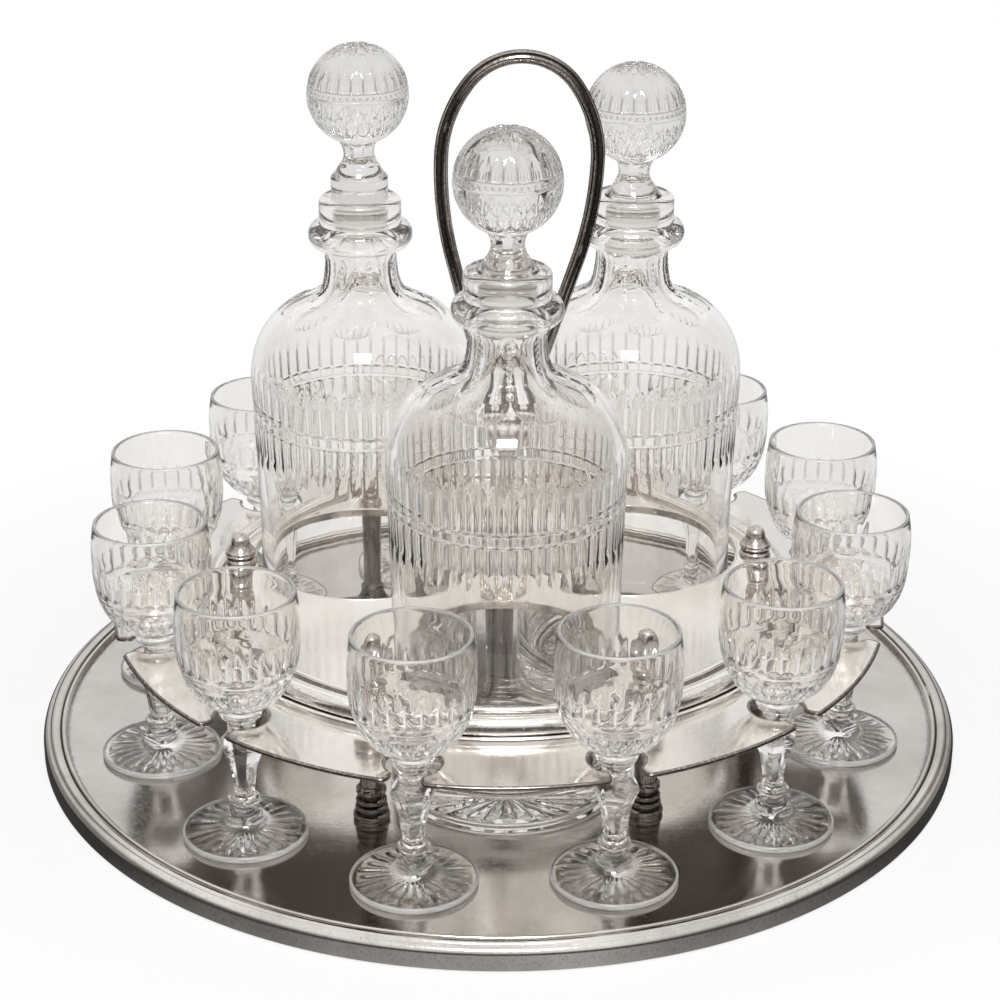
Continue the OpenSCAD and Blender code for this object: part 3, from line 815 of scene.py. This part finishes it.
def glass_cut(split):
    """Cuts on the outside only: flutes over two rows of lozenges on the bowl, stem facets, a star beneath."""
    def depth(r, z, theta, row):
        outer = row < split
        upper = np.minimum(ramp(z, 69.2, 71.5), 1 - ramp(z, 77.0, 86.5))
        first = np.minimum(ramp(z, 59.5, 64.0), 1 - ramp(z, 64.0, 67.8))
        second = np.minimum(ramp(z, 53.5, 58.5), 1 - ramp(z, 58.5, 64.0))
        bowl = flutes(theta, GLASS_FLUTES, upper, 0.65)
        bowl += np.maximum(flutes(theta, GLASS_FLUTES, first, 0.55),
                           flutes(theta, GLASS_FLUTES, second, 0.5, 0.5))
        bowl += mitre(z, 71.0, 0.5, 0.2) + mitre(z, 67.6, 0.5, 0.2)
        face = ramp(z, 15.6, 19.0) * (1 - ramp(z, 36.5, 38.6))
        phi = pitch_offset(theta, STEM_FACETS, 0.5)
        stem = r * face * (1 - math.cos(math.pi / STEM_FACETS) / np.cos(phi)) * 0.85
        rays = star(r, theta, GLASS_RAYS, 3.5, 20.2, 1.6, 0.8) * (r < 20.3)
        return outer * ((z > 50) * bowl + (z > 15) * (z < 40) * stem + (z <= 1.0) * rays)
    return depth


def make_glasses():
    """Twelve glasses of one mesh, with a softer rim and foot edge."""
    outside, inside = glass_profile()
    first = turned_mesh("cut_glass_1", outside + inside, GLASS_FLUTES * 8, glass_cut(len(outside)), 30)
    first.data.materials.append(GLASS)
    first.data.materials.append(EDGE)
    for face in first.data.polygons:
        rim = face.center.z > 95.1 * MM
        foot_edge = face.center.z < 2.6 * MM and face.center.xy.length > 21.6 * MM
        face.material_index = int(rim or foot_edge)
    for i in range(1, GLASSES + 1):
        place = round_axis(-90 + 360 / GLASSES * (i - 0.5), GLASS_RING_R, FLOOR_H)
        obj = first if i == 1 else copy_at(first, "cut_glass_%d" % i, place)
        obj.matrix_world = place
        fit_piece(obj, "glass_%d" % i, "cut_glass", GLASS, "glass_%d" % i)


def dress_kept_nodes():
    """Materials of the CAD nodes that stay."""
    metals = {"tray": TRAY, "shelf": PLATE, "deck": PLATE, "centre_nut": NUT}
    metals.update(("nut_%d" % i, NUT) for i in range(1, 7))
    for node, metal in metals.items():
        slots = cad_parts[node].data.materials
        slots.clear()
        slots.append(metal)


# The studio

def make_floor():
    """A round table, white to the eye with a soft shadow near the stand.

    Metal sees it as dark, with a lit strip in front and a paler far side; glass sees it much brighter.
    """
    bpy.ops.mesh.primitive_circle_add(vertices=128, radius=0.85, fill_type="NGON", location=(0, 0, -0.0002))
    floor = bpy.context.object
    floor.name = "floor"
    mat = bpy.data.materials.new("floor_white")
    mat.use_nodes = True
    g = Graph(mat.node_tree)
    g.nodes.clear()
    out = g.new("OutputMaterial")
    diffuse = g.new("BsdfDiffuse")
    diffuse.inputs["Color"].default_value = (0.9, 0.9, 0.9, 1)
    glow = g.new("Emission")
    glow.inputs["Color"].default_value = (1, 1, 1, 1)
    ray = g.new("LightPath").outputs
    place = g.new("NewGeometry").outputs["Position"]
    position = g.split(place)
    side = g.math("ABSOLUTE", position["X"])
    beam = g.to_range(side, 0.36, 0.0, 0.02, 0.15)
    beam = g.math("MULTIPLY", beam, g.to_range(position["Y"], 0.0, 1.0, -0.50, -0.25))
    beam = g.math("MULTIPLY", beam, g.to_range(position["Y"], 1.0, 0.0, -0.15, 0.0))
    grey = g.math("ADD", beam, g.to_range(position["Y"], 0.05, 0.55, 0.02, 0.30))
    level = g.math("ADD", grey, g.math("MULTIPLY", ray["Is Transmission Ray"], 0.62))
    level = g.math("MINIMUM", level, 0.90)
    level = g.math("MAXIMUM", level, ray["Is Camera Ray"])
    g.link(level, glow.inputs["Strength"])
    reach = g.new("VectorMath")
    reach.operation = "LENGTH"
    g.link(place, reach.inputs[0])
    fade = g.to_range(reach.outputs["Value"], 0.70, 1.0, 0.20, 0.34)
    share = g.math("MULTIPLY", fade, ray["Is Camera Ray"])
    share = g.math("MAXIMUM", share, ray["Is Glossy Ray"])
    share = g.math("MAXIMUM", share, ray["Is Transmission Ray"])
    mix = g.new("MixShader")
    g.link(share, mix.inputs["Fac"])
    g.link(diffuse.outputs[0], mix.inputs[1])
    g.link(glow.outputs[0], mix.inputs[2])
    g.link(mix.outputs[0], out.inputs["Surface"])
    floor.data.materials.append(mat)


def make_world():
    """White to the eye and a studio to the metal: pale behind and above, dark on the near side."""
    world = bpy.data.worlds.new("studio")
    bpy.context.scene.world = world
    world.use_nodes = True
    g = Graph(world.node_tree)
    g.nodes.clear()
    out = g.new("OutputWorld")
    back = g.new("Background")
    ray = g.new("LightPath").outputs
    direction = g.split(g.new("TexCoord").outputs["Generated"])
    clear = ray["Is Transmission Ray"]
    front = g.math("MULTIPLY", g.to_range(direction["Y"], 1.0, 0.0, 0.0, 0.50),
                   g.to_range(direction["Z"], 1.0, 0.0, 0.24, 0.46))
    aside = g.math("ABSOLUTE", direction["X"])
    flank = g.math("MULTIPLY", g.to_range(aside, 0.0, 0.70, 0.40, 0.68),
                   g.to_range(direction["Z"], 1.0, 0.0, 0.42, 0.68))
    flank = g.math("MULTIPLY", flank, g.math("MULTIPLY_ADD", clear, -0.75, 1.0))
    dark = g.math("MAXIMUM", front, flank)
    pale = g.to_range(direction["Z"], 0.70, 1.0, 0.25, 0.90)
    pale = g.math("MAXIMUM", pale, g.math("MULTIPLY", clear, 0.97))
    deepest = g.math("MULTIPLY_ADD", clear, 0.21, 0.09)
    span = g.math("SUBTRACT", pale, deepest)
    level = g.math("SUBTRACT", pale, g.math("MULTIPLY", dark, span))
    mirror = g.math("MAXIMUM", ray["Is Glossy Ray"], clear)
    plain = g.math("SUBTRACT", 1.0, mirror)
    plain_level = g.math("MULTIPLY_ADD", ray["Is Camera Ray"], 0.5, 0.5)
    level = g.math("ADD", g.math("MULTIPLY", level, mirror), g.math("MULTIPLY", plain, plain_level))
    g.link(level, back.inputs["Strength"])
    g.link(g.blend(level, (1.0, 0.86, 0.76), (1.0, 1.0, 1.0), 0.04, 0.5), back.inputs["Color"])
    g.link(back.outputs[0], out.inputs["Surface"])


def make_softbox():
    """Rectangular lamp over the camera."""
    lamp = bpy.data.lights.new("softbox", "AREA")
    lamp.shape = "RECTANGLE"
    lamp.size, lamp.size_y = 0.44, 0.30
    lamp.energy = 16.0
    obj = bpy.data.objects.new("softbox", lamp)
    bpy.context.scene.collection.objects.link(obj)
    high, away = math.radians(53), 1.55
    aim = Vector((0, 0, 0.12))
    turn = math.radians(CAMERA_YAW)
    back = Vector((math.sin(turn) * math.cos(high), -math.cos(turn) * math.cos(high), math.sin(high)))
    obj.location = aim + back * away
    obj.rotation_mode = "QUATERNION"
    obj.rotation_quaternion = back.to_track_quat("Z", "Y")


def make_camera():
    """The photograph's camera: focal length in pixels, place and aim from the round outlines."""
    focal_px, frame_px, sensor = 2465.82, 1000, 36.0
    middle_px = (492.15, 488.7)
    aim, distance = Vector((-2.68, 0, 98.24)), 942.75
    data = bpy.data.cameras.new("camera")
    data.sensor_width = sensor
    data.lens = focal_px / frame_px * sensor
    data.shift_x = (frame_px / 2 - middle_px[0]) / frame_px
    data.shift_y = (middle_px[1] - frame_px / 2) / frame_px
    data.clip_start, data.clip_end = 0.05, 20
    cam = bpy.data.objects.new("camera", data)
    bpy.context.scene.collection.objects.link(cam)
    tilt, yaw, roll = math.radians(23.21), math.radians(CAMERA_YAW), math.radians(0.15)
    back = Vector((0, -math.cos(tilt), math.sin(tilt)))
    right = Vector((1, 0, 0))
    up = back.cross(right)
    right, up = right * math.cos(roll) + up * math.sin(roll), up * math.cos(roll) - right * math.sin(roll)
    place = aim * MM + back * distance * MM
    basis = Matrix((right, up, back)).transposed().to_4x4()
    cam.matrix_world = Matrix.Rotation(yaw, 4, "Z") @ Matrix.Translation(place) @ basis
    bpy.context.scene.camera = cam


def set_light_paths():
    """Enough bounces for light to pass through three pieces of cut glass."""
    cycles = bpy.context.scene.cycles
    cycles.max_bounces = 28
    cycles.transmission_bounces = 28
    cycles.glossy_bounces = 12
    cycles.diffuse_bounces = 3
    cycles.transparent_max_bounces = 16
    cycles.sample_clamp_indirect = 8.0
    bpy.context.scene.view_settings.view_transform = "Standard"


make_camera()
make_floor()
make_world()
make_softbox()
set_light_paths()
dress_kept_nodes()
make_turned_metal()
make_shelf_edge()
make_handle()
make_decanters()
make_stoppers()
make_glasses()
